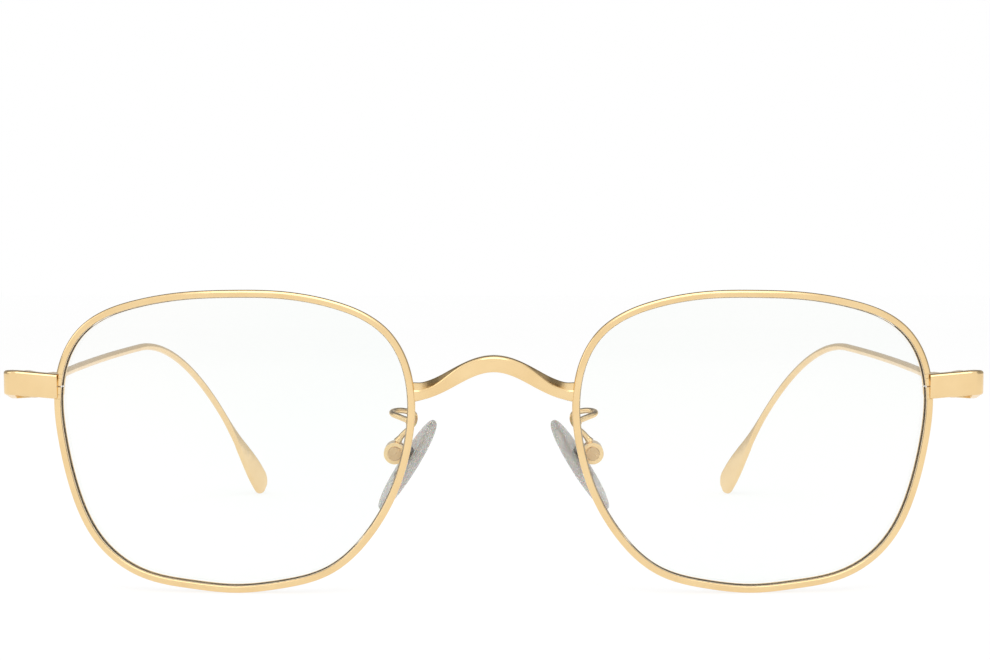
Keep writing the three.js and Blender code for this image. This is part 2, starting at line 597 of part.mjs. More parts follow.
// The pad's own frame: x along its width to the back, y along its length up, z out to the nose.
function padMatrix() {
  const [slant, splay] = [rad(PAD_SLANT), rad(PAD_SPLAY)];
  const up = V(-Math.sin(slant), 0, Math.cos(slant));
  const out = V(-Math.cos(slant) * Math.cos(splay), Math.sin(splay),
    -Math.sin(slant) * Math.cos(splay));
  return new THREE.Matrix4().makeBasis(up.clone().cross(out), up, out).setPosition(PAD_CENTRE);
}
const PAD_FRAME = padMatrix();
const padOut = V(0, 0, 1).transformDirection(PAD_FRAME);
const padUp = V(0, 1, 0).transformDirection(PAD_FRAME);
const PAD_BOX = PAD_CENTRE.clone().addScaledVector(padOut, -PAD_BOX_OUT)
  .addScaledVector(padUp, PAD_BOX_UP);

// Rod along Y on the pad screw's axis, y measured from the box centre.
const screwwise = (radius, y0, y1) =>
  new THREE.CylinderGeometry(radius, radius, y1 - y0, ROUND).translate(0, (y0 + y1) / 2, 0);

// Direction from the box to the pad in the plane that the tab lies in.
const TAB_ANGLE = Math.atan2(padOut.z, padOut.x);

// Pillow-shaped oval, domed towards the nose, with a shallow seat in its back.
function padGeometry() {
  const rows = [[-0.82, 0.3], [-0.9, 0.62], [-0.84, 0.82], [-0.5, 0.96], [0, 1], [0.42, 0.95],
    [0.74, 0.8], [0.93, 0.52], [1, 0.2]];
  const around = 28;
  const rings = rows.map(([z, share]) => {
    const points = [];
    for (let i = 0; i < around; i++) {
      const angle = 2 * Math.PI * i / around;
      const [c, s] = [Math.cos(angle), Math.sin(angle)];
      points.push(V(share * PAD_WIDTH / 2 * Math.sign(c) * Math.abs(c) ** 0.92,
        share * PAD_LENGTH / 2 * Math.sign(s) * Math.abs(s) ** 0.92, z * PAD_THICKNESS / 2));
    }
    return points;
  });
  const back = -PAD_THICKNESS / 2;
  const [l, w] = [PAD_PLATE_LENGTH / 2 + 0.05, PAD_PLATE_WIDTH / 2 + 0.05];
  const seat = box(-w, w, -l, l, back - 1, back + PAD_PLATE_THICKNESS + 0.25);
  return cut(skin(rings), seat).applyMatrix4(PAD_FRAME);
}

// Metal insert: a plate seated in the pad's back, and a tab with an eye that the box holds.
function padInsertGeometry() {
  const back = -PAD_THICKNESS / 2;
  const [l, w] = [PAD_PLATE_LENGTH / 2, PAD_PLATE_WIDTH / 2];
  const seatPlate = box(-w, w, -l, l, back + 0.2, back + 0.2 + PAD_PLATE_THICKNESS)
    .applyMatrix4(PAD_FRAME);
  const half = PAD_TAB_THICKNESS / 2;
  const eye = screwwise(PAD_TAB_HEIGHT / 2, -half, half);
  const tab = box(0, PAD_BOX_OUT - PAD_THICKNESS / 2 + 0.45, -half, half, -PAD_TAB_HEIGHT / 2,
    PAD_TAB_HEIGHT / 2).rotateY(-TAB_ANGLE);
  const arm = union(eye, tab).translate(PAD_BOX.x, PAD_BOX.y, PAD_BOX.z);
  const bore = screwwise(PAD_SCREW_RADIUS + BORE_CLEARANCE, -3, 3)
    .translate(PAD_BOX.x, PAD_BOX.y, PAD_BOX.z);
  return cut(union(seatPlate, arm), bore);
}

// Round box with a slot that is open towards the pad, and a bore for its screw.
function padBoxGeometry() {
  const half = PAD_BOX_LENGTH / 2;
  const drum = screwwise(PAD_BOX_RADIUS, -half, half);
  const slot = box(-PAD_TAB_HEIGHT / 2 - 0.15, 4, -PAD_SLOT / 2, PAD_SLOT / 2, -4, 4)
    .rotateY(-TAB_ANGLE);
  return cut(drum, slot, screwwise(PAD_SCREW_RADIUS + BORE_CLEARANCE, -3, 3))
    .translate(PAD_BOX.x, PAD_BOX.y, PAD_BOX.z);
}

function padScrewGeometry() {
  const half = PAD_BOX_LENGTH / 2;
  const shank = screwwise(PAD_SCREW_RADIUS, -half - 0.5 * PAD_SCREW_HEAD_HEIGHT, half + 0.1);
  const head = screwwise(PAD_SCREW_HEAD_RADIUS, -half - PAD_SCREW_HEAD_HEIGHT, -half - SEAT_GAP);
  const slot = box(-2, 2, -half - 2, -half - PAD_SCREW_HEAD_HEIGHT + SCREW_SLOT, -0.13, 0.13)
    .rotateY(rad(35));
  return cut(union(shank, head), slot).translate(PAD_BOX.x, PAD_BOX.y, PAD_BOX.z);
}

// Wire arm: from its foot on the back of the rim, out in a loop behind the lens, back in behind
// the rim, and down to the box.
function padArmGeometry() {
  let foot = null;
  for (let k = 0; k <= 200; k++) {
    const angle = rad(150 + 60 * k / 200);
    const miss = Math.abs(outline(angle)[1] - ARM_FOOT_ABOVE);
    if (!foot || miss < foot.miss) foot = { miss, ...rimFrame(angle) };
  }
  const wire = ARM_WIRE / 2;
  const start = foot.p.clone().addScaledVector(foot.b, RIM_DEPTH / 2 + SEAT_GAP);
  const top = PAD_BOX.clone().add(V(-0.3, 0.5, 0.98 * PAD_BOX_RADIUS + SEAT_GAP));
  const curve = new THREE.CatmullRomCurve3([
    start, start.clone().add(V(0.1, 0.8, 0.05)), start.clone().add(V(1.5, 1.9, 0.45)),
    start.clone().add(V(2.5, 3.0, 0.7)), start.clone().add(V(2.5, 4.2, 0.85)),
    start.clone().add(V(1.2, 5.4, 0.8)), start.clone().add(V(-0.3, 6.4, 0.1)),
    start.clone().add(V(-0.25, 7.1, -1.2)), top.clone().add(V(-0.7, 0.1, 0.85)), top],
  false, "centripetal");
  const steps = 34;
  const section = roundedSection(wire, wire, wire);
  const rings = [];
  let a = V(0, 0, 1);
  for (let i = 0; i <= steps; i++) {
    const t = curve.getTangentAt(i / steps);
    a = a.clone().addScaledVector(t, -a.dot(t)).normalize();
    rings.push(ring({ p: curve.getPointAt(i / steps), a, b: t.clone().cross(a) }, section));
  }
  const behind = alongRim(rimBar(SEAT_GAP), rad(150), rad(210), 16);
  const drum = screwwise(PAD_BOX_RADIUS + SEAT_GAP, -4, 4)
    .translate(PAD_BOX.x, PAD_BOX.y, PAD_BOX.z);
  return cut(skin(rings), behind, drum);
}

// ---------------------------------------------------------------- assembly
const group = new THREE.Group();
group.name = "eyeglasses";
group.add(front);

function add(parent, name, geometry, material) {
  const mesh = new THREE.Mesh(geometry, material());
  mesh.name = name;
  parent.add(mesh);
  return mesh;
}

add(front, "bridge", bridgeGeometry(), gold);

const inFront = {
  rim: [rimGeometry(), gold],
  lens: [lensGeometry(), clearLens],
  closing_block: [upperBlockGeometry(), gold],
  closing_screw: [lockScrewGeometry(), goldScrew],
  pad_arm: [padArmGeometry(), gold],
  pad_box: [padBoxGeometry(), gold],
  pad_screw: [padScrewGeometry(), goldScrew],
  pad_insert: [padInsertGeometry(), steel],
  nose_pad: [padGeometry(), silicone],
};
const atHinge = {
  end_piece: [endPieceGeometry(), gold],
  hinge_screw: [hingeScrewGeometry(), goldScrew],
  temple: [templeGeometry(), gold],
};

for (const [suffix, side] of [["left", 1], ["right", -1]]) {
  const turned = (geometry) => (side > 0 ? geometry : mirrored(geometry));
  for (const [name, [geometry, material]] of Object.entries(inFront))
    add(front, `${name}_${suffix}`, turned(geometry), material);
  const hinge = hingeGroup(side, `hinge_${suffix}`);
  group.add(hinge);
  for (const [name, [geometry, material]] of Object.entries(atHinge))
    add(hinge, `${name}_${suffix}`, turned(geometry), material);
}

// Stood on the table, with the middle of its box over the origin.
group.updateMatrixWorld(true);
const bounds = new THREE.Box3().setFromObject(group, true);
group.position.set(0, -(bounds.min.y + bounds.max.y) / 2, -bounds.min.z);
group.updateMatrixWorld(true);

export default group;
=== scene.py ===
# %% [markdown]
# # Eyeglasses with thin gold rims
# A pair of metal eyeglasses is mostly bent wire. Each piece below is built the way a maker
# thinks of it: a section is drawn once and carried along a path, or a plate is cut to an
# outline. The moving frame comes from the CAD model, so this script only adds the looks.
# %% Load the frame
import json
import bpy
import numpy as np
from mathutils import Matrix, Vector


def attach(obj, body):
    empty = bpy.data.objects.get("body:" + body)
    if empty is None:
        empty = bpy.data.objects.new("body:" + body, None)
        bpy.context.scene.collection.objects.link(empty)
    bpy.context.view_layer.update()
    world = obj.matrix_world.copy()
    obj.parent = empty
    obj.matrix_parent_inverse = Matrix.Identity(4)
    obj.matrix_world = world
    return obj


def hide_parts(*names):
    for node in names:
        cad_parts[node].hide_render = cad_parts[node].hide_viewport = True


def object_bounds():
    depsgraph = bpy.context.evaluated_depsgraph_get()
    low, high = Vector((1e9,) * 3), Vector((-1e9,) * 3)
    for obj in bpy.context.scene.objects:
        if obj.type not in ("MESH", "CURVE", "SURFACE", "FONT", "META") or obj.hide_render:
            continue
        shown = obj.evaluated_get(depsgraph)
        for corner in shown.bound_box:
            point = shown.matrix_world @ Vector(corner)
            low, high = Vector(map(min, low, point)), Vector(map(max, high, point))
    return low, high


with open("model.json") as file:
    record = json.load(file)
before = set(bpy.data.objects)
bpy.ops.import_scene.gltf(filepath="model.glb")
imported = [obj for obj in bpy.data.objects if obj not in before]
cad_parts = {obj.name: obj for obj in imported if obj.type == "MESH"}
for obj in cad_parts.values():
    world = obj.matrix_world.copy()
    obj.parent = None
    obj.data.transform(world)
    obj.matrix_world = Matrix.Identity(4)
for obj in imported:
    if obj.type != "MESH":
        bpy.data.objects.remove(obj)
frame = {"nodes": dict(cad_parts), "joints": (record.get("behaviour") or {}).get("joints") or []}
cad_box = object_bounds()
print("frame", len(frame["nodes"]), "nodes; box", np.round(cad_box, 4).tolist())

# %% [markdown]
# ## Sizes
# Lengths are in millimetres while we draw and turn into metres when a mesh is made. The values
# are the ones the CAD part is driven by, so that both models describe the same glasses.
# %% Sizes of the front
LENS_WIDTH, LENS_HEIGHT = 48.1, 40.2        # box of the rim's centreline
TRACE = np.array([23.6, 25.2, 25.5, 22.9, 20.8, 20.1, 21.0, 23.1, 25.4, 25.0,
                  23.5, 22.5, 22.0, 21.6, 20.4, 20.1, 20.6, 22.4, 23.3, 23.1])
RIM_SPACING, BASE_CURVE, WRAP, LEAN = 22.4, 125.0, 4.0, 5.0
RIM_WIDTH, RIM_DEPTH = 1.04, 1.9
GROOVE_DEPTH, GROOVE_WIDTH = 0.38, 0.92
LENS_THICKNESS, LENS_CLEARANCE = 1.7, 0.1
LOCK_HEIGHT, BLOCK_HEIGHT, BLOCK_GAP = 7.3, 3.4, 0.16
BLOCK_WIDTH, BLOCK_DEPTH, FOOT_REACH, FOOT_INSET = 3.3, 4.1, 1.2, 1.05

# %% Sizes of the end pieces, hinges and temples
END_REACH, STRAP_HEIGHT, STRAP_THICKNESS = 7.84, 3.4, 1.3
STRAP_CORNER, STRAP_STAND, STRAP_RISE = 1.5, 0.25, 0.5
STRAP_LAP, STRAP_CLEAR = 0.3, 0.12
HINGE_BACK, HINGE_INSET, HINGE_DROP = 6.4, 2.4, 0.75
STOP_BEFORE, STOP_GAP = 0.75, 0.1           # end piece to the pin's middle, and to the temple
LOCK_SCREW_RADIUS, LOCK_HEAD_RADIUS, LOCK_HEAD_HEIGHT = 0.55, 0.95, 0.35
HINGE_PIN_RADIUS, HINGE_HEAD_RADIUS, HINGE_HEAD_HEIGHT = 0.6, 1.0, 0.3
SEAT_GAP, SCREW_SLOT = 0.03, 0.15           # under a screw's head, and its slot's depth
KNUCKLE_RADIUS, KNUCKLE_HEIGHT, KNUCKLE_GAP = 1.2, 0.98, 0.06
TEMPLE_RISE, TEMPLE_STRAIGHT, TEMPLE_BEND_RADIUS = 2.6, 75.5, 57.0
TEMPLE_BEND, TEMPLE_BEND_LEAN, TEMPLE_TIP = 47.5, 14.5, 20.5
TEMPLE_WIRE, TEMPLE_WIRE_INSET, TEMPLE_BOW, TEMPLE_DIP = 1.2, 1.6, 3.0, 0.5
BUTT_HEIGHT, BUTT_THICKNESS = 3.4, 1.2
PADDLE_WIDTH, PADDLE_THICKNESS, PADDLE_LENGTH, TWIST = 5.0, 0.9, 15.0, 15.0

# %% Sizes of the bridge and nose pads
BRIDGE_HEIGHT, BRIDGE_THICKNESS, BRIDGE_END_ABOVE = 2.25, 1.5, 6.9
BRIDGE_RISE, BRIDGE_FORWARD, BRIDGE_FLARE, BRIDGE_BEVEL = 4.15, 2.2, 0.3, (0.35, 1.15)
PAD_LENGTH, PAD_WIDTH, PAD_THICKNESS, PAD_SLANT, PAD_SPLAY = 14.5, 6.8, 1.9, 32.3, 11.0
PAD_BOX_RADIUS, PAD_BOX_LENGTH, PAD_BOX_UP, PAD_BOX_OUT = 1.5, 2.4, 0.7, 2.6
PAD_SLOT, PAD_TAB_HEIGHT, ARM_WIRE, ARM_FOOT_ABOVE = 0.78, 2.1, 0.8, 2.75
PAD_BESIDE, PAD_BEHIND, PAD_BELOW = 0.72, 8.9, 4.42
PAD_HEAD_RADIUS, PAD_HEAD_HEIGHT = 0.95, 0.4

# %% [markdown]
# ## Drawing helpers
# Everything is an array of points, shape (rows, points, 3), worked out at once. `smooth` eases
# from 0 to 1, which is how one section turns into another without a kink.
# %% Vectors and turns
def unit(v):
    """Each vector divided by its own length."""
    return v / np.linalg.norm(v, axis=-1, keepdims=True)

def smooth(t):
    """3 t squared minus 2 t cubed, held at 0 and 1 outside."""
    t = np.clip(t, 0, 1)
    return t * t * (3 - 2 * t)

def mix(a, b, t):
    """a where t is 0, b where t is 1, in proportion between."""
    return a + (b - a) * t

def turned(points, axis, degrees):
    """Points turned about x (axis 0) or z (axis 2) by the right-hand rule."""
    c, s = np.cos(np.radians(degrees)), np.sin(np.radians(degrees))
    x, y, z = np.moveaxis(np.asarray(points, float), -1, 0)
    if axis == 0:
        return np.stack([x, c * y - s * z, s * y + c * z], -1)
    return np.stack([c * x - s * y, s * x + c * y, z], -1)

# %% [markdown]
# ## Sections
# A wire drawn through a die has softly rounded corners. `soft_corners` replaces each corner of
# a drawn outline with a small curve that starts and ends on the two edges that meet there.
# %% Outlines with soft corners
def soft_corners(corners, radius, steps=5):
    """At each corner, a quadratic curve from one edge to the next: (1-t)^2 of the point
    before, 2t(1-t) of the corner and t^2 of the point after. radius is the cut along each edge."""
    corners = np.asarray(corners, float)
    before, after = np.roll(corners, 1, 0) - corners, np.roll(corners, -1, 0) - corners
    reach = np.minimum(np.broadcast_to(radius, len(corners)),
                       0.48 * np.minimum(np.linalg.norm(before, axis=1),
                                         np.linalg.norm(after, axis=1)))[:, None]
    start, end = corners + unit(before) * reach, corners + unit(after) * reach
    t = np.linspace(0, 1, steps)[None, :, None]
    points = ((1 - t) ** 2 * start[:, None] + 2 * t * (1 - t) * corners[:, None]
              + t ** 2 * end[:, None])
    return points.reshape(-1, 2)

def oval(w, h, corner, count=40):
    """Rounded rectangle of half sizes w and h as one closed curve. The angle goes round once and
    each corner is a quarter circle; sizes may be arrays, one row for each place on a path."""
    w, h = np.atleast_1d(w).astype(float)[:, None], np.atleast_1d(h).astype(float)[:, None]
    r = np.minimum(corner, np.minimum(0.96 * w, 0.96 * h))
    angle = (np.arange(count) + 0.5) * 2 * np.pi / count
    c, s = np.cos(angle)[None], np.sin(angle)[None]
    return np.stack([np.sign(c) * (w - r) + r * c, np.sign(s) * (h - r) + r * s], -1)

# %% [markdown]
# ## Carrying a section along a path
# This is how wire is made: the section stays square to the path. `carry` places a section at
# each point p, using two directions a and b that span the plane of the section.
# %% Carry, and turn rings into a mesh
def carry(section, p, a, b):
    """Ring points are p + s a + t b for every section point (s, t)."""
    section = np.broadcast_to(section, (len(p),) + np.shape(section)[-2:])
    return (p[:, None] + section[..., :1] * a[:, None] + section[..., 1:] * b[:, None])

made = {}

def piece(name, rings, body, slot, replaced=(), crease=32.0, bevel=0.0):
    """A closed mesh through rings: a face joins each pair of neighbours on two rings, and an
    end is closed by one flat face. The faces are turned if the enclosed volume is negative."""
    rows, per = rings.shape[:2]
    points = rings.reshape(-1, 3) * 1e-3
    i, j = np.arange(rows - 1)[:, None], np.arange(per)[None]
    k, n = i + 1, (j + 1) % per
    quads = np.stack(np.broadcast_arrays(i * per + j, i * per + n, k * per + n, k * per + j),
                     -1).reshape(-1, 4)
    p = points[quads]
    volume = (np.cross(p[:, 1] - p[:, 0], p[:, 2] - p[:, 0]) * p[:, 0]).sum()
    volume += (np.cross(p[:, 2] - p[:, 0], p[:, 3] - p[:, 0]) * p[:, 0]).sum()
    faces = quads.tolist()
    faces += [list(range(per))[::-1], list(range((rows - 1) * per, rows * per))]
    for end, sign in ((points[:per], -1), (points[-per:], 1)):
        fan = np.cross(end[1:-1] - end[0], end[2:] - end[0]) @ end[0]
        volume += sign * fan.sum()
    if volume < 0:
        faces = [f[::-1] for f in faces]
    mesh = bpy.data.meshes.new(name)
    mesh.from_pydata(points.tolist(), [], faces)
    mesh.update()
    mesh.polygons.foreach_set("use_smooth", np.ones(len(mesh.polygons), bool))
    mesh.set_sharp_from_angle(angle=np.radians(crease))
    obj = bpy.data.objects.new(name, mesh)
    bpy.context.scene.collection.objects.link(obj)
    if bevel:
        soften = obj.modifiers.new("soft_edge", "BEVEL")
        soften.width, soften.segments = bevel * 1e-3, 2
        soften.limit_method, soften.angle_limit = "ANGLE", np.radians(crease)
        soften.harden_normals = True
    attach(obj, body)
    if replaced:
        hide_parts(*replaced)
    made[name] = (obj, slot)
    return obj

def pair(name, rings, body, slot, replaced=True, **more):
    """The same piece on both sides: x is negated for the wearer's right."""
    for side, sign in (("left", 1), ("right", -1)):
        piece(f"{name}_{side}_look", rings * np.array([sign, 1, 1]),
              body.replace("*", side), slot,
              [f"{name}_{side}"] if replaced is True else (replaced or ()), **more)

# %% [markdown]
# ## The lens shape
# An optician's lens is cut to a trace: radii measured round its centre. A smooth closed curve
# runs through them, and the flat outline is then laid on a ball of 125 mm radius, which is the
# base curve that spectacle lenses and their rims share.
# %% From the trace to the curved front
pull = np.roll(np.eye(20), 1, 1) + np.roll(np.eye(20), -1, 1) + 4 * np.eye(20)
SLOPES = np.linalg.solve(pull, 3 * (np.roll(TRACE, -1) - np.roll(TRACE, 1)))
CENTRE = np.array([RIM_SPACING / 2 + LENS_WIDTH / 2 * np.cos(np.radians(WRAP)), 0,
                   LENS_HEIGHT / 2 + RIM_WIDTH / 2])

def outline(angle):
    """Periodic cubic through the radii, times cosine and sine of the angle."""
    turn = (np.asarray(angle, float) / (2 * np.pi) % 1) * 20
    i = np.floor(turn).astype(int) % 20
    j, t = (i + 1) % 20, turn - np.floor(turn)
    r = (TRACE[i] * (1 + 2 * t) * (1 - t) ** 2 + SLOPES[i] * t * (1 - t) ** 2
         + TRACE[j] * t * t * (3 - 2 * t) + SLOPES[j] * t * t * (t - 1))
    return np.stack([r * np.cos(angle), r * np.sin(angle)], -1)

def on_front(uv, depth=0.0):
    """Point (u, v) raised by (u^2 + v^2) / 2R behind the lens plane, moved along the curve's
    normal by depth, then turned by the wrap and set at the lens centre."""
    u, v = uv[..., 0], uv[..., 1]
    normal = unit(np.stack([-u / BASE_CURVE, np.ones_like(u), -v / BASE_CURVE], -1))
    p = np.stack([u, (u * u + v * v) / (2 * BASE_CURVE), v], -1)
    return turned(p + normal * np.asarray(depth)[..., None], 2, WRAP) + CENTRE

def rim_frame(angle):
    """Centreline point p, a out of the lens and b to the back, at each angle."""
    p = on_front(outline(angle))
    along = on_front(outline(angle + 1e-3)) - on_front(outline(angle - 1e-3))
    b = unit(on_front(outline(angle), 1.0) - p)
    return p, unit(np.cross(b, along)), b

# %% [markdown]
# ## Standing the front up
# The front leans forward by 5 degrees when the glasses stand. The hinge pin is known both in
# the front's own drawing and in the CAD record, and the difference between the two is where
# the front stands.
# %% Place of the front and of the hinges
def angle_at(height, nose=False):
    """The angle, at the temple side or nose side, where the outline stands at that height."""
    angles = np.linspace(150, 210, 24001) if nose else np.linspace(-40, 40, 24001)
    angles = np.radians(angles)
    return angles[np.argmin(np.abs(outline(angles)[:, 1] - height))]

LOCK = on_front(outline(angle_at(LOCK_HEIGHT)))
STRAP_X = LOCK[0] + END_REACH - STRAP_THICKNESS / 2
STRAP_Y = LOCK[1] - RIM_DEPTH / 2 - STRAP_STAND + STRAP_THICKNESS / 2
joint = {j["name"]: j for j in frame["joints"]}
HINGE = 1e3 * np.array(joint["left_temple_fold"]["pos_m"])
pin = turned([STRAP_X - HINGE_INSET, STRAP_Y + HINGE_BACK, LOCK[2]], 0, LEAN)
FRONT_AT = HINGE - pin + [0, 0, HINGE_DROP]

def standing(p):
    """From the front's own frame to the table: turned by the lean, then moved."""
    return turned(p, 0, LEAN) + FRONT_AT

def at_hinge(p):
    """From the left hinge pin's frame to the table."""
    return turned(p, 0, TEMPLE_RISE) + HINGE
print("front stands at", FRONT_AT.round(3), "closing joint", standing(LOCK).round(2))

# %% [markdown]
# ## Rims
# A rim is a drawn wire with a V-groove inside that grips the lens. It is closed round the lens
# by a screw at the temple side, so it is drawn open there. The outside is rounded more than
# the inside, and that is what makes one long bright line run round each lens.
# %% Rims
LOCK_ENDS = [angle_at(LOCK_HEIGHT + s * (BLOCK_HEIGHT / 2 + 0.02)) for s in (-1, 1)]
w, d, g = RIM_WIDTH / 2, RIM_DEPTH / 2, GROOVE_WIDTH / 2
RIM_SECTION = soft_corners([[w, -d], [w, d], [-w, d], [-w, g], [-w + GROOVE_DEPTH, 0],
                            [-w, -g], [-w, -d]], [0.5, 0.5, 0.3, 0.06, 0.05, 0.06, 0.3], 8)
rim_angles = np.linspace(LOCK_ENDS[1], LOCK_ENDS[0] + 2 * np.pi, 420)
rim_rings = standing(carry(RIM_SECTION, *rim_frame(rim_angles)))
pair("rim", rim_rings, "front", "gold", crease=50)

# %% [markdown]
# ## Lenses
# Each lens is a thin curved shell whose edge is ground to a V that sits in the rim's groove.
# Rings shrink from the edge to the centre on the front and on the back, which gives one
# closed solid that light can bend through.
# %% Lenses
around = -np.linspace(0, 2 * np.pi, 257)[:-1]
half, wall = LENS_THICKNESS / 2, RIM_WIDTH / 2 - 0.05
share = np.concatenate([np.linspace(0.02, 1, 14), np.ones(4), np.linspace(1, 0.02, 14)])
inset = np.full(len(share), wall)
inset[[15, 16]] = wall - GROOVE_DEPTH + LENS_CLEARANCE      # the two rings of the V's tip
depth = np.array([-half] * 14 + [-0.36, -0.02, 0.02, 0.36] + [half] * 14)
flat = outline(around)
side = unit(outline(around + 1e-3) - outline(around - 1e-3))
out = np.stack([side[:, 1], -side[:, 0]], -1)
uv = share[:, None, None] * (flat - inset[:, None, None] * out)
lens_rings = standing(on_front(uv, np.broadcast_to(depth[:, None], uv.shape[:2])))
pair("lens", lens_rings, "front", "lens", crease=28)

# %% [markdown]
# ## Bridge
# The bridge is a forged band, brazed to both rims. Seen from the front its centreline is a
# raised cosine, and the same curve pushes it forward. Its ends swell a little, as brazing
# metal flows into the corner.
# %% Bridge
nose = on_front(outline(angle_at(BRIDGE_END_ABOVE, nose=True)))
s = np.linspace(-1, 1, 161)
hump = (1 + np.cos(np.pi * s)) / 2
path = np.stack([(nose[0] - 0.12) * s, nose[1] - BRIDGE_FORWARD * hump ** 0.8,
                 nose[2] + BRIDGE_RISE * hump], -1)
along = unit(np.gradient(path, axis=0))
up = unit(np.array([0, 0, 1.0]) - along * along[:, 2:])
flare = smooth((np.abs(s) - 0.84) / 0.16)
w2, h2 = BRIDGE_THICKNESS / 2, (BRIDGE_HEIGHT + BRIDGE_FLARE * flare) / 2
slope = mix(*BRIDGE_BEVEL, smooth((np.abs(s) - 0.3) / 0.5))
band = np.stack([soft_corners([[w2, h], [-w2 + e, h], [-w2, h - 0.9 * e], [-w2, -h], [w2, -h]],
                              [0.4, 0.25, 0.25, 0.45, 0.4], 8) for h, e in zip(h2, slope)])
bridge_rings = standing(carry(band, path, np.cross(up, along), up))
piece("bridge_look", bridge_rings, "front", "gold", ["bridge"], crease=50)
print("bridge", bridge_rings.min((0, 1)).round(2), bridge_rings.max((0, 1)).round(2))

# %% [markdown]
# ## Closing blocks
# Behind each end piece two small blocks pull the rim's ends together with a screw. Both carry
# the rim's groove on, so the lens stays held. One section is carried along the rim for a few
# millimetres, below the gap and above it. Each block's foot is lower than the strip that
# carries the groove, so that the end piece hides it.
# %% Closing blocks
STRAP_INNER = w - STRAP_LAP                       # measured out from the rim's centreline
STRAP_BACK = STRAP_Y + STRAP_THICKNESS / 2 - LOCK[1]

def block(low, high, front, step):
    """The rim's section with a foot behind the end piece, between two heights: front is how far
    it stands before the centreline, and step where the foot begins, outward and backward."""
    section = soft_corners(
        [[step[0], -front], [step[0], step[1]], [BLOCK_WIDTH - w, step[1]],
         [BLOCK_WIDTH - w, BLOCK_DEPTH - d], [FOOT_INSET - w, BLOCK_DEPTH - d], [-w, d],
         [-w, g], [-w + GROOVE_DEPTH, 0], [-w, -g], [-w, -front]],
        [0.12, 0.05, 0.25, 0.35, 0.3, 0.1, 0.05, 0.05, 0.05, 0.16], 5)
    angles = np.linspace(angle_at(low), angle_at(high), 9)
    return standing(carry(section, *rim_frame(angles)))

def strip(low, high, step):
    """The rim's section alone between two heights, cut back to the step for the end piece."""
    section = soft_corners(
        [[step[0], -d], [step[0], step[1]], [w, step[1]], [w, d], [-w, d], [-w, g],
         [-w + GROOVE_DEPTH, 0], [-w, -g], [-w, -d]],
        [0.12, 0.03, 0.1, 0.3, 0.3, 0.05, 0.05, 0.05, 0.16], 5)
    angles = np.linspace(angle_at(low), angle_at(high), 5)
    return standing(carry(section, *rim_frame(angles)))

bottom, top = LOCK_HEIGHT - BLOCK_HEIGHT / 2, LOCK_HEIGHT + BLOCK_HEIGHT / 2
foot_low, foot_high = LOCK_HEIGHT - FOOT_REACH, LOCK_HEIGHT + FOOT_REACH
step = (STRAP_INNER - STRAP_CLEAR, STRAP_BACK + STRAP_CLEAR)
pair("closing_block", block(LOCK_HEIGHT + BLOCK_GAP / 2, foot_high, d, step),
     "front", "gold", crease=40, bevel=0.1)
pair("closing_strip", strip(foot_high - 0.1, top, step), "front", "gold", (), crease=40)
pair("lower_block", block(foot_low, LOCK_HEIGHT - BLOCK_GAP / 2, d, (w, STRAP_BACK)),
     "front", "gold", (), crease=40, bevel=0.1)
pair("lower_strip", strip(bottom, foot_low + 0.1, (w - 0.02, STRAP_BACK)), "front", "gold", (),
     crease=40)

# %% [markdown]
# ## End pieces
# The end piece is a flat bar that runs out past the rim, turns back in a round corner and ends
# at the hinge. The front leans by 5 degrees but the temples climb by 2.6, so the bar twists
# slightly on its way back.
# %% End piece bars
inner = LOCK[0] + STRAP_INNER
turn = np.radians(np.linspace(-90, 0, 22))
end = STRAP_Y + HINGE_BACK - STOP_BEFORE
plan = np.concatenate([
    np.stack([np.linspace(inner, STRAP_X - STRAP_CORNER, 12), np.full(12, STRAP_Y)], -1)[:-1],
    np.stack([STRAP_X - STRAP_CORNER * (1 - np.cos(turn)),
              STRAP_Y + STRAP_CORNER * (1 + np.sin(turn))], -1),
    np.stack([np.full(10, STRAP_X), np.linspace(STRAP_Y + STRAP_CORNER, end, 10)], -1)[1:]])
out2 = np.concatenate([np.tile([0, -1.0], (11, 1)), np.stack([np.cos(turn), np.sin(turn)], -1),
                       np.tile([1.0, 0], (9, 1))])
back = smooth((plan[:, 1] - STRAP_Y) / (end - STRAP_Y))
lean = np.radians(mix(LEAN, TEMPLE_RISE, back))
climb = STRAP_RISE * np.clip((plan[:, 0] - inner) / (STRAP_X - STRAP_CORNER - inner), 0, 1)
on_lean = standing(np.column_stack([plan, LOCK[2] + climb]))
on_pin = at_hinge(np.column_stack([plan - [STRAP_X - HINGE_INSET, STRAP_Y + HINGE_BACK],
                                   np.zeros(len(plan))]))
path = mix(on_lean, on_pin, back[:, None])
up = np.stack([0 * lean, -np.sin(lean), np.cos(lean)], -1)
face = np.stack([out2[:, 0], out2[:, 1] * np.cos(lean), out2[:, 1] * np.sin(lean)], -1)
thin, high = STRAP_THICKNESS / 2, STRAP_HEIGHT / 2
bar = soft_corners([[thin, high], [-thin, high], [-thin, -high], [thin, -high]],
                   [0.5, 0.3, 0.3, 0.42], 7)
pair("end_piece", carry(bar, path, face, up), "front", "gold", crease=50, bevel=0.1)

# %% [markdown]
# ## Hinge knuckles
# Two knuckles of the end piece hold one knuckle of the temple between them, on a screw. In
# plan each is a round with a web running to its bar, cut from plate, with its edges broken.
# %% Knuckles
EAR_REACH = HINGE_INSET - STRAP_THICKNESS / 2 + 0.1
TOP = 1.5 * KNUCKLE_HEIGHT + KNUCKLE_GAP

def knuckle(start, stop, web, low, high):
    """A round from one angle to the next and the corners of its web, at two heights."""
    arc = np.radians(np.linspace(start, stop, 40))
    plan = np.concatenate([KNUCKLE_RADIUS * np.stack([np.cos(arc), np.sin(arc)], -1), web])
    heights = np.array([low, high])
    return at_hinge(np.stack([np.column_stack([plan, np.full(len(plan), z)])
                              for z in heights]))

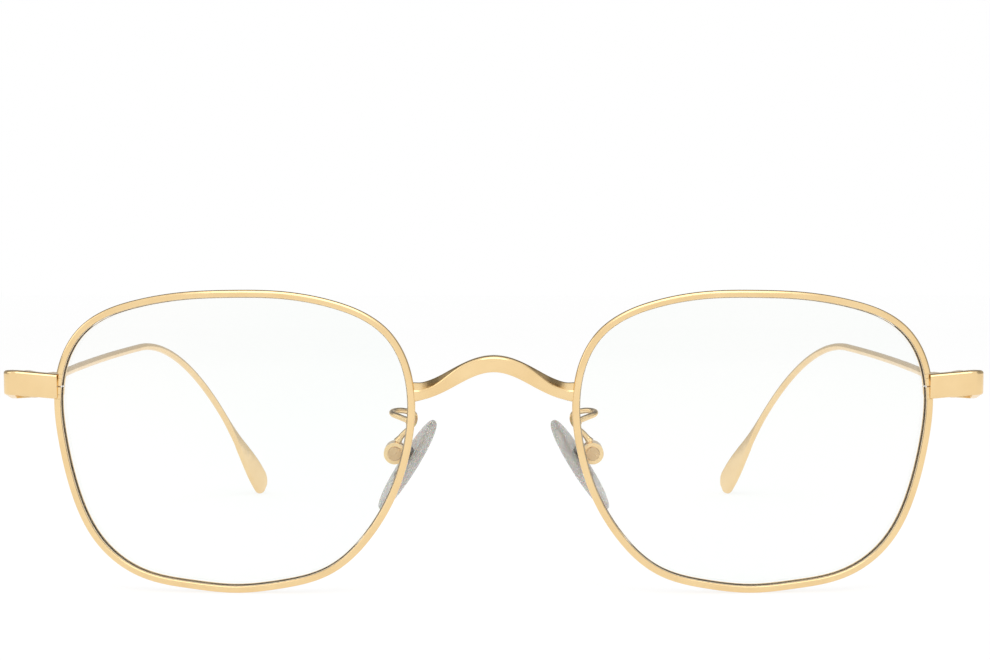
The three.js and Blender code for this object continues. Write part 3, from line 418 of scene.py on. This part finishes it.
ear = ([60, 221], [[EAR_REACH, -3], [EAR_REACH, -0.8]])
for name, low, high in (("lower_ear", -TOP, -KNUCKLE_HEIGHT / 2 - KNUCKLE_GAP),
                        ("upper_ear", KNUCKLE_HEIGHT / 2 + KNUCKLE_GAP, TOP)):
    pair(name, knuckle(*ear[0], ear[1], low, high), "front", "gold", (), bevel=0.1)
pair("temple_knuckle", knuckle(139, 300, [[EAR_REACH, -0.55], [EAR_REACH, 3.4]],
                               -KNUCKLE_HEIGHT / 2, KNUCKLE_HEIGHT / 2),
     "*_temple", "gold", (), bevel=0.1)

# %% [markdown]
# ## Screws
# A slotted cheese-head screw is drawn as slices across its head. Every slice is the same
# outline with a notch in the middle, and its half width follows the circle, so the slices
# build a round head with a straight slot.
# %% Slotted heads
def slotted(radius, low, high, slot_width, slot_depth, count=41):
    """At distance x the half width is the square root of r^2 - x^2, and the outline runs up one
    side, down into the slot, up again and down the other side."""
    x = -radius * np.cos(np.linspace(0, np.pi, count))
    h = np.sqrt(np.maximum(radius ** 2 - x ** 2, 1e-5))[:, None]
    n = np.minimum(slot_width / 2, 0.6 * h)
    e = np.minimum(0.1 * radius, 0.2 * h)
    ones = np.ones_like(h)
    y = np.hstack([-h + e, -h, -h, -h + e, -n, -n, n, n, h - e, h, h, h - e])
    z = np.hstack([low * ones, (low + 0.06) * ones, (high - 0.1) * ones, high * ones,
                   high * ones, (high - slot_depth) * ones, (high - slot_depth) * ones,
                   high * ones, high * ones, (high - 0.1) * ones, (low + 0.06) * ones,
                   low * ones])
    return np.stack([np.broadcast_to(x[:, None], y.shape), y, z], -1)

head = slotted(HINGE_HEAD_RADIUS, TOP + SEAT_GAP, TOP + HINGE_HEAD_HEIGHT, 0.26, SCREW_SLOT)
pair("hinge_screw", at_hinge(turned(head, 2, 30)), "front", "gold_screw", crease=30)
lock_x = LOCK[0] + BLOCK_WIDTH - w - 1.3
lock_y = STRAP_Y + STRAP_THICKNESS / 2 + 1.6
low = LOCK[2] - FOOT_REACH
head = slotted(LOCK_HEAD_RADIUS, SEAT_GAP, LOCK_HEAD_HEIGHT, 0.24, SCREW_SLOT)
head = head * [1, 1, -1] + [lock_x, lock_y, low]
pair("closing_screw", standing(head), "front", "gold_screw", crease=30)
tail = slotted(LOCK_SCREW_RADIUS, -0.2, 0.1, 0.0, 0.0) + [lock_x, lock_y, LOCK[2] + FOOT_REACH]
pair("closing_tail", standing(tail), "front", "gold_screw", (), crease=30)
tail = slotted(HINGE_PIN_RADIUS, 0.0, 0.1, 0.0, 0.0) * [1, 1, -1] + [0, 0, -TOP]
pair("hinge_tail", at_hinge(tail), "front", "gold_screw", (), crease=30)

# %% [markdown]
# ## Temples
# A temple starts as a small flat bar at the hinge, is drawn down to round wire, bends down
# behind the ear and is hammered flat at its tip. So its section changes from bar to round to
# paddle while its path goes straight, round an arc and straight again.
# %% Temple path
y = np.concatenate([np.linspace(-STOP_BEFORE + STOP_GAP, 24, 90), np.linspace(24, TEMPLE_STRAIGHT, 60)[1:]])
sway = (HINGE_INSET - TEMPLE_WIRE_INSET * smooth((y - 3) / 20)
        - TEMPLE_BOW * np.maximum(0, (y - 30) / (TEMPLE_STRAIGHT - 30)) ** 2)
straight = np.stack([sway, y, -TEMPLE_DIP * smooth((y - 3) / 20)], -1)
ahead = unit(np.array([-2 * TEMPLE_BOW / (TEMPLE_STRAIGHT - 30), 1, 0]))
tilt = np.radians(TEMPLE_BEND_LEAN)
down = np.array([-np.sin(tilt), 0, -np.cos(tilt)])
down = unit(down - ahead * (down @ ahead))
bend = np.radians(np.linspace(0, TEMPLE_BEND, 80))[1:, None]
arc = straight[-1] + TEMPLE_BEND_RADIUS * ((1 - np.cos(bend)) * down + np.sin(bend) * ahead)
last = np.radians(TEMPLE_BEND)
away = np.cos(last) * ahead + np.sin(last) * down
reach = TEMPLE_TIP * np.sin(np.linspace(0, np.pi / 2, 120))[1:, None]
path = np.concatenate([straight, arc, arc[-1] + reach * away])

# %% Temple section and mesh
length = np.concatenate([[0], np.cumsum(np.linalg.norm(np.diff(path, axis=0), axis=1))])
to_tip = length[-1] - length
slim = smooth((length - 5) / 12)
spread = 1 - smooth((to_tip - 4) / (PADDLE_LENGTH + 4))
thick = mix(mix(BUTT_THICKNESS, TEMPLE_WIRE, slim), PADDLE_THICKNESS, spread) / 2
tall = mix(mix(BUTT_HEIGHT, TEMPLE_WIRE, slim), PADDLE_WIDTH, spread) / 2
near_tip = np.clip(to_tip / (PADDLE_WIDTH / 2), 0, 1)
tall = tall * np.sqrt(np.maximum(0.004, 1 - (1 - near_tip) ** 2))
thick = thick * np.sqrt(np.maximum(0.02, 1 - (1 - np.clip(to_tip / 0.4, 0, 1)) ** 2))
ahead = unit(np.gradient(path, length, axis=0))
a = unit(np.array([1.0, 0, 0]) - ahead * ahead[:, :1])
b = np.cross(ahead, a)
roll = -np.radians(TWIST) * spread[:, None]
a, b = np.cos(roll) * a + np.sin(roll) * b, np.cos(roll) * b - np.sin(roll) * a
temple_rings = at_hinge(carry(oval(thick, tall, 0.58), path, a, b))
pair("temple", temple_rings, "*_temple", "gold", crease=45)
print("temple", length[-1].round(1), "mm of wire; tip at", temple_rings[-1].mean(0).round(2))

# %% [markdown]
# ## Nose pads
# A nose pad is a soft oval pillow, domed to the nose, with a metal insert in its back. The
# dome is two exponents: how full the oval is across its width, and how flat it is on top.
# %% Frame of the pad, and the pad itself
slant, splay = np.radians(PAD_SLANT), np.radians(PAD_SPLAY)
pad_up = np.array([-np.sin(slant), 0, np.cos(slant)])
pad_out = np.array([-np.cos(slant) * np.cos(splay), np.sin(splay),
                    -np.sin(slant) * np.cos(splay)])
pad_back = np.cross(pad_up, pad_out)
PAD_AT = np.array([RIM_SPACING / 2 + PAD_BESIDE, PAD_BEHIND, CENTRE[2] - PAD_BELOW])
BOX_AT = PAD_AT - PAD_BOX_OUT * pad_out + PAD_BOX_UP * pad_up

lat = np.linspace(-np.pi / 2 + 0.03, np.pi / 2 - 0.03, 41)[:, None]
lon = np.linspace(0, 2 * np.pi, 97)[None, :-1]
full = np.abs(np.cos(lat)) ** np.where(lat > 0, 0.86, 0.5)
rise = np.where(lat > 0, np.abs(np.sin(lat)) ** 0.9, -0.86 * np.abs(np.sin(lat)) ** 0.55)
rise = rise + 0.3 * np.where(lat < 0, np.exp(-(full / 0.55) ** 4), 0)
across = PAD_WIDTH / 2 * full * np.sign(np.cos(lon)) * np.abs(np.cos(lon)) ** 0.94
long = PAD_LENGTH / 2 * full * np.sign(np.sin(lon)) * np.abs(np.sin(lon)) ** 0.94
thick = PAD_THICKNESS / 2 * rise * np.ones_like(lon)
pad_rings = (PAD_AT + across[..., None] * pad_back + long[..., None] * pad_up
             + thick[..., None] * pad_out)
pair("nose_pad", standing(pad_rings), "*_pad", "pad_silicone", crease=60)

# %% [markdown]
# ## Pad boxes, screws and arms
# The pad hangs in a small round box with a slot, on a screw, at the end of a thin wire arm.
# The arm is soldered to the back of the rim and loops outward, so that an optician can bend
# it. The wire follows a smooth curve through a few points, like the ones pliers would hold.
# %% Pad boxes and their screws
tab = unit(pad_out * [1, 0, 1])
cross = np.array([-tab[2], 0, tab[0]])
h = -PAD_BOX_RADIUS * np.cos(np.linspace(0, np.pi, 41))[:, None]
chord = np.sqrt(np.maximum(PAD_BOX_RADIUS ** 2 - h ** 2, 1e-4))
notch = np.maximum(-PAD_TAB_HEIGHT / 2 - 0.15, -0.7 * chord)
L, q = PAD_BOX_LENGTH / 2 * np.ones_like(h), PAD_SLOT / 2 * np.ones_like(h)
reach = np.hstack([-chord, chord, chord, notch, notch, chord, chord, -chord])
depth = np.hstack([-L, -L, -q, -q, q, q, L, L])
box_rings = (BOX_AT + reach[..., None] * tab + depth[..., None] * np.array([0, 1.0, 0])
             + h[..., None] * cross)
pair("pad_box", standing(box_rings), "front", "gold", crease=35, bevel=0.12)
screw = slotted(PAD_HEAD_RADIUS, SEAT_GAP, PAD_HEAD_HEIGHT, 0.26, SCREW_SLOT)
c35, s35 = np.cos(np.radians(-35)), np.sin(np.radians(-35))
screw = np.stack([c35 * screw[..., 0] - s35 * screw[..., 1],
                  -PAD_BOX_LENGTH / 2 - screw[..., 2],
                  s35 * screw[..., 0] + c35 * screw[..., 1]], -1) + BOX_AT
pair("pad_screw", standing(screw), "front", "gold_screw", crease=30)

# %% Wire arms
def smooth_path(points, count):
    """Cubic pieces through the points; slopes come from neighbours, weighed by the square root
    of the distances, so that a tight bend doesn't overshoot."""
    p = np.concatenate([[2 * points[0] - points[1]], points, [2 * points[-1] - points[-2]]])
    dt = np.linalg.norm(np.diff(p, axis=0), axis=1)[:, None] ** 0.5
    x0, x1, x2, x3 = p[:-3], p[1:-2], p[2:-1], p[3:]
    d0, d1, d2 = dt[:-2], dt[1:-1], dt[2:]
    m1 = ((x1 - x0) / d0 - (x2 - x0) / (d0 + d1) + (x2 - x1) / d1) * d1
    m2 = ((x2 - x1) / d1 - (x3 - x1) / (d1 + d2) + (x3 - x2) / d2) * d1
    t = np.linspace(0, 1, count, endpoint=False)[None, :, None]
    x1, x2, m1, m2 = (v[:, None] for v in (x1, x2, m1, m2))
    q = (x1 * (1 + 2 * t) * (1 - t) ** 2 + m1 * t * (1 - t) ** 2
         + x2 * t * t * (3 - 2 * t) + m2 * t * t * (t - 1))
    return np.concatenate([q.reshape(-1, 3), points[-1:]])

p, a, b = rim_frame(np.array([angle_at(ARM_FOOT_ABOVE, nose=True)]))
foot = p[0] + b[0] * (RIM_DEPTH / 2 - 0.1)
top = BOX_AT + [-0.3, 0.5, 0.98 * PAD_BOX_RADIUS - 0.1]
bends = foot + np.array([[0, 0, 0], [0.1, 0.9, 0.05], [1.5, 2.0, 0.45], [2.5, 3.1, 0.7],
                         [2.5, 4.3, 0.85], [1.2, 5.5, 0.8], [-0.3, 6.5, 0.1], [-0.25, 7.2, -1.2]])
path = smooth_path(np.concatenate([bends, top + [[-0.7, 0.1, 0.9], [0, 0, 0]]]), 14)
ahead = unit(np.gradient(path, axis=0))
a = unit(np.array([0.35, 0.1, 0.93]) - ahead * (ahead @ [0.35, 0.1, 0.93])[:, None])
run = np.concatenate([[0], np.cumsum(np.linalg.norm(np.diff(path, axis=0), axis=1))])
solder = 1 + 0.55 * np.exp(-(run / 0.5) ** 2) + 0.5 * np.exp(-((run[-1] - run) / 0.5) ** 2)
arm_rings = standing(carry(oval(ARM_WIRE / 2 * solder, ARM_WIRE / 2 * solder, 9.0, 24), path, a,
                           np.cross(ahead, a)))
pair("pad_arm", arm_rings, "front", "gold", crease=60)
print("pad arm", run[-1].round(1), "mm")

# %% [markdown]
# ## Gold
# Spectacle gold is a thin plating on nickel silver. It is polished but never a perfect mirror:
# the roughness wanders, the tone shifts slightly where the plating is thicker, and drawing the
# wire leaves very fine lines. All three come from noise in the object's own coordinates.
# %% Helpers for finishes
def finish(name, colour, **sockets):
    """A new material whose shader starts with a constant for every socket named."""
    mat = bpy.data.materials.new(name)
    mat.use_nodes = True
    shader = mat.node_tree.nodes["Principled BSDF"]
    shader.inputs["Base Color"].default_value = (*colour, 1)
    for socket, value in sockets.items():
        shader.inputs[socket.replace("_", " ")].default_value = value
    return mat, shader

def noise(mat, scale, detail=3.0, stretch=(1, 1, 1)):
    """Noise in object coordinates; scale is in bumps per metre."""
    nodes, links = mat.node_tree.nodes, mat.node_tree.links
    where, move = nodes.new("ShaderNodeTexCoord"), nodes.new("ShaderNodeMapping")
    move.inputs["Scale"].default_value = stretch
    cloud = nodes.new("ShaderNodeTexNoise")
    cloud.inputs["Scale"].default_value, cloud.inputs["Detail"].default_value = scale, detail
    links.new(where.outputs["Object"], move.inputs["Vector"])
    links.new(move.outputs["Vector"], cloud.inputs["Vector"])
    return cloud.outputs["Fac"]

def between(mat, fac, low, high, socket):
    """The noise's middle range spread from low to high, onto a shader socket."""
    spread = mat.node_tree.nodes.new("ShaderNodeMapRange")
    for key, value in (("From Min", 0.3), ("From Max", 0.7), ("To Min", low), ("To Max", high)):
        spread.inputs[key].default_value = value
    mat.node_tree.links.new(fac, spread.inputs["Value"])
    mat.node_tree.links.new(spread.outputs["Result"], socket)

def tones(mat, fac, dark, light, shader):
    """The noise picks a colour between two tones."""
    ramp = mat.node_tree.nodes.new("ShaderNodeValToRGB")
    ramp.color_ramp.elements[0].position, ramp.color_ramp.elements[1].position = 0.3, 0.7
    ramp.color_ramp.elements[0].color, ramp.color_ramp.elements[1].color = (*dark, 1), (*light, 1)
    mat.node_tree.links.new(fac, ramp.inputs["Fac"])
    mat.node_tree.links.new(ramp.outputs["Color"], shader.inputs["Base Color"])

def relief(mat, fac, height, shader, strength=1.0):
    """The noise lifts the surface by up to height metres."""
    bump = mat.node_tree.nodes.new("ShaderNodeBump")
    bump.inputs["Distance"].default_value = height
    bump.inputs["Strength"].default_value = strength
    mat.node_tree.links.new(fac, bump.inputs["Height"])
    mat.node_tree.links.new(bump.outputs["Normal"], shader.inputs["Normal"])

# %% Gold plating, and the darker gold of the screws
def gold(name, dark, light, smoothest, roughest, grain):
    mat, shader = finish(name, light, Metallic=1.0, IOR=1.5)
    tones(mat, noise(mat, 180), dark, light, shader)
    between(mat, noise(mat, 900, 4), smoothest, roughest, shader.inputs["Roughness"])
    relief(mat, noise(mat, 3500, 2, (1, 0.15, 1)), grain, shader, 0.35)
    return mat

finishes = {
    "gold": gold("gold plating", (0.86, 0.62, 0.32), (0.91, 0.68, 0.37), 0.16, 0.26, 4e-6),
    "gold_screw": gold("gold of the screws", (0.66, 0.45, 0.23), (0.74, 0.53, 0.29),
                       0.24, 0.36, 8e-6)}

# %% [markdown]
# ## Lens, silicone and steel
# The lens is clear plastic with a thin coating that cuts its reflections, so it is nearly
# invisible from the front. The pads are silicone, which lets light in and scatters it. The
# insert behind each pad is plain stainless steel, brushed one way.
# %% Clear lens
mat, shader = finish("clear coated lens", (0.97, 0.99, 0.975), Transmission_Weight=1.0,
                     IOR=1.5, Specular_IOR_Level=0.3)
between(mat, noise(mat, 60, 2), 0.0, 0.012, shader.inputs["Roughness"])
tones(mat, noise(mat, 25, 1), (0.965, 0.985, 0.972), (0.985, 0.99, 0.98), shader)
finishes["lens"] = mat

# %% Silicone of the nose pads
mat, shader = finish("translucent silicone", (0.76, 0.76, 0.73), Transmission_Weight=0.4,
                     IOR=1.41, Subsurface_Weight=0.25, Subsurface_Scale=0.002)
tones(mat, noise(mat, 260, 2), (0.72, 0.72, 0.69), (0.8, 0.8, 0.77), shader)
between(mat, noise(mat, 1200, 3), 0.16, 0.3, shader.inputs["Roughness"])
relief(mat, noise(mat, 1500, 2), 3e-6, shader, 0.2)
finishes["pad_silicone"] = mat

# %% Brushed steel of the pad inserts
mat, shader = finish("brushed steel", (0.30, 0.29, 0.28), Metallic=1.0)
tones(mat, noise(mat, 700, 3, (1, 1, 0.1)), (0.24, 0.23, 0.22), (0.36, 0.35, 0.33), shader)
between(mat, noise(mat, 2500, 2, (1, 1, 0.08)), 0.26, 0.42, shader.inputs["Roughness"])
finishes["insert_steel"] = mat

# %% Put the finishes on
for obj, slot in made.values():
    obj.data.materials.clear()
    obj.data.materials.append(finishes[slot])
    obj.visible_shadow = slot != "lens"
for name in ("pad_insert_left", "pad_insert_right"):
    node = frame["nodes"][name]
    node.data.materials.clear()
    node.data.materials.append(finishes["insert_steel"])
    soften = node.modifiers.new("soft_edge", "BEVEL")
    soften.width, soften.segments = 6e-5, 2
    soften.limit_method, soften.angle_limit = "ANGLE", np.radians(35)
print(len(made), "pieces made")

# %% [markdown]
# ## Studio
# The glasses stand on white in soft light. The floor is white to the camera but keeps a
# faint shadow, so the pieces that touch it look placed. Reflections see the same white, which
# is what makes polished gold look pale.
# %% Floor and backdrop
def white_seen(mat, strength, keep):
    """Adds plain white for camera, glossy and transmitted rays; keep is the share that is left
    of the real surface, with its shadows."""
    nodes, links = mat.node_tree.nodes, mat.node_tree.links
    ray, glow, blend = (nodes.new(k) for k in ("ShaderNodeLightPath", "ShaderNodeEmission",
                                               "ShaderNodeMixShader"))
    glow.inputs["Strength"].default_value = strength
    one, two = nodes.new("ShaderNodeMath"), nodes.new("ShaderNodeMath")
    three = nodes.new("ShaderNodeMath")
    one.operation = two.operation = "MAXIMUM"
    three.operation, three.inputs[1].default_value = "MULTIPLY", 1 - keep
    links.new(ray.outputs["Is Camera Ray"], one.inputs[0])
    links.new(ray.outputs["Is Glossy Ray"], one.inputs[1])
    links.new(one.outputs[0], two.inputs[0])
    links.new(ray.outputs["Is Transmission Ray"], two.inputs[1])
    links.new(two.outputs[0], three.inputs[0])
    links.new(three.outputs[0], blend.inputs[0])
    links.new(nodes["Principled BSDF"].outputs[0], blend.inputs[1])
    links.new(glow.outputs[0], blend.inputs[2])
    links.new(blend.outputs[0], nodes["Material Output"].inputs["Surface"])

paper, _ = finish("white paper", (0.9, 0.9, 0.9), Roughness=0.9)
white_seen(paper, 1.1, 0.3)
mesh = bpy.data.meshes.new("floor")
mesh.from_pydata([(-6, -6, 0), (6, -6, 0), (6, 6, 0), (-6, 6, 0)], [], [(0, 1, 2, 3)])
floor = bpy.data.objects.new("floor", mesh)
bpy.context.scene.collection.objects.link(floor)
floor.location.z = cad_box[0][2]
mesh.materials.append(paper)

# %% World and lamps
world = bpy.data.worlds.new("studio")
bpy.context.scene.world = world
world.use_nodes = True
nodes, links = world.node_tree.nodes, world.node_tree.links
sky, ray = nodes["Background"], nodes.new("ShaderNodeLightPath")
sky.inputs["Color"].default_value = (1, 1, 1, 1)
seen, glossy = nodes.new("ShaderNodeMath"), nodes.new("ShaderNodeMath")
seen.operation = glossy.operation = "MAXIMUM"
links.new(ray.outputs["Is Camera Ray"], seen.inputs[0])
links.new(ray.outputs["Is Glossy Ray"], seen.inputs[1])
links.new(seen.outputs[0], glossy.inputs[0])
links.new(ray.outputs["Is Transmission Ray"], glossy.inputs[1])
level = nodes.new("ShaderNodeMapRange")
level.inputs["To Min"].default_value, level.inputs["To Max"].default_value = 0.8, 1.0
links.new(glossy.outputs[0], level.inputs["Value"])
links.new(level.outputs["Result"], sky.inputs["Strength"])

def lamp(name, place, aim, size, power):
    """A square soft light that points from its place to its aim."""
    light = bpy.data.lights.new(name, "AREA")
    light.size, light.energy = size, power
    obj = bpy.data.objects.new(name, light)
    bpy.context.scene.collection.objects.link(obj)
    obj.location = place
    line = np.array(aim) - np.array(place)
    obj.rotation_euler = (np.arccos(-line[2] / np.linalg.norm(line)), 0,
                          np.arctan2(line[1], line[0]) - np.pi / 2)
    return obj

lamp("front top light", (0.0, -0.7, 0.75), (0, 0, 0.02), 0.75, 2.6)
lamp("left light", (-0.8, -0.25, 0.35), (0, 0, 0.02), 0.4, 0.6)

# %% [markdown]
# ## Dark cards
# Polished metal shows only what is round it. In an all-white room it looks flat, so a studio
# hangs grey cards out of sight: above and behind, and at the two sides. They are seen by
# reflections only, and draw the thin dark lines along the edges of the gold.
# %% Cards
def card(name, corners, grey):
    """A flat card through four corners, of one even grey, that only reflections see."""
    mat = bpy.data.materials.new(name)
    mat.use_nodes = True
    nodes, links = mat.node_tree.nodes, mat.node_tree.links
    even = nodes.new("ShaderNodeEmission")
    even.inputs["Color"].default_value = (grey, grey, grey, 1)
    links.new(even.outputs[0], nodes["Material Output"].inputs["Surface"])
    mesh = bpy.data.meshes.new(name)
    mesh.from_pydata(corners, [], [(0, 1, 2, 3)])
    mesh.materials.append(mat)
    obj = bpy.data.objects.new(name, mesh)
    bpy.context.scene.collection.objects.link(obj)
    obj.visible_camera = obj.visible_diffuse = obj.visible_shadow = False
    obj.visible_transmission = obj.visible_volume_scatter = False

card("card above", [(-1.5, 0.06, 1.1), (1.5, 0.06, 1.1), (1.5, 1.6, 0.9), (-1.5, 1.6, 0.9)], 0.15)
card("card behind", [(-1.5, 1.6, 0.06), (1.5, 1.6, 0.06), (1.5, 1.6, 0.9), (-1.5, 1.6, 0.9)], 0.6)
for side in (-1, 1):
    card("card beside", [(side * 1.2, -0.6, 0.02), (side * 1.2, 1.6, 0.02),
                         (side * 1.2, 1.6, 1.0), (side * 1.2, -0.6, 1.0)], 0.4)

# %% [markdown]
# ## Camera
# A long lens close to table height shows both temples running back behind the lenses, each
# seen through its own lens.
# %% Camera
view = bpy.data.cameras.new("camera")
view.lens, view.sensor_width = 77.7, 36.0
view.clip_start = 0.01
camera = bpy.data.objects.new("camera", view)
bpy.context.scene.collection.objects.link(camera)
camera.location = (0.0, -0.35607, 0.0424)
camera.rotation_euler = (np.radians(90 - 1.31), 0, np.radians(-0.035))
bpy.context.scene.camera = camera
bpy.context.scene.view_settings.view_transform = "Standard"
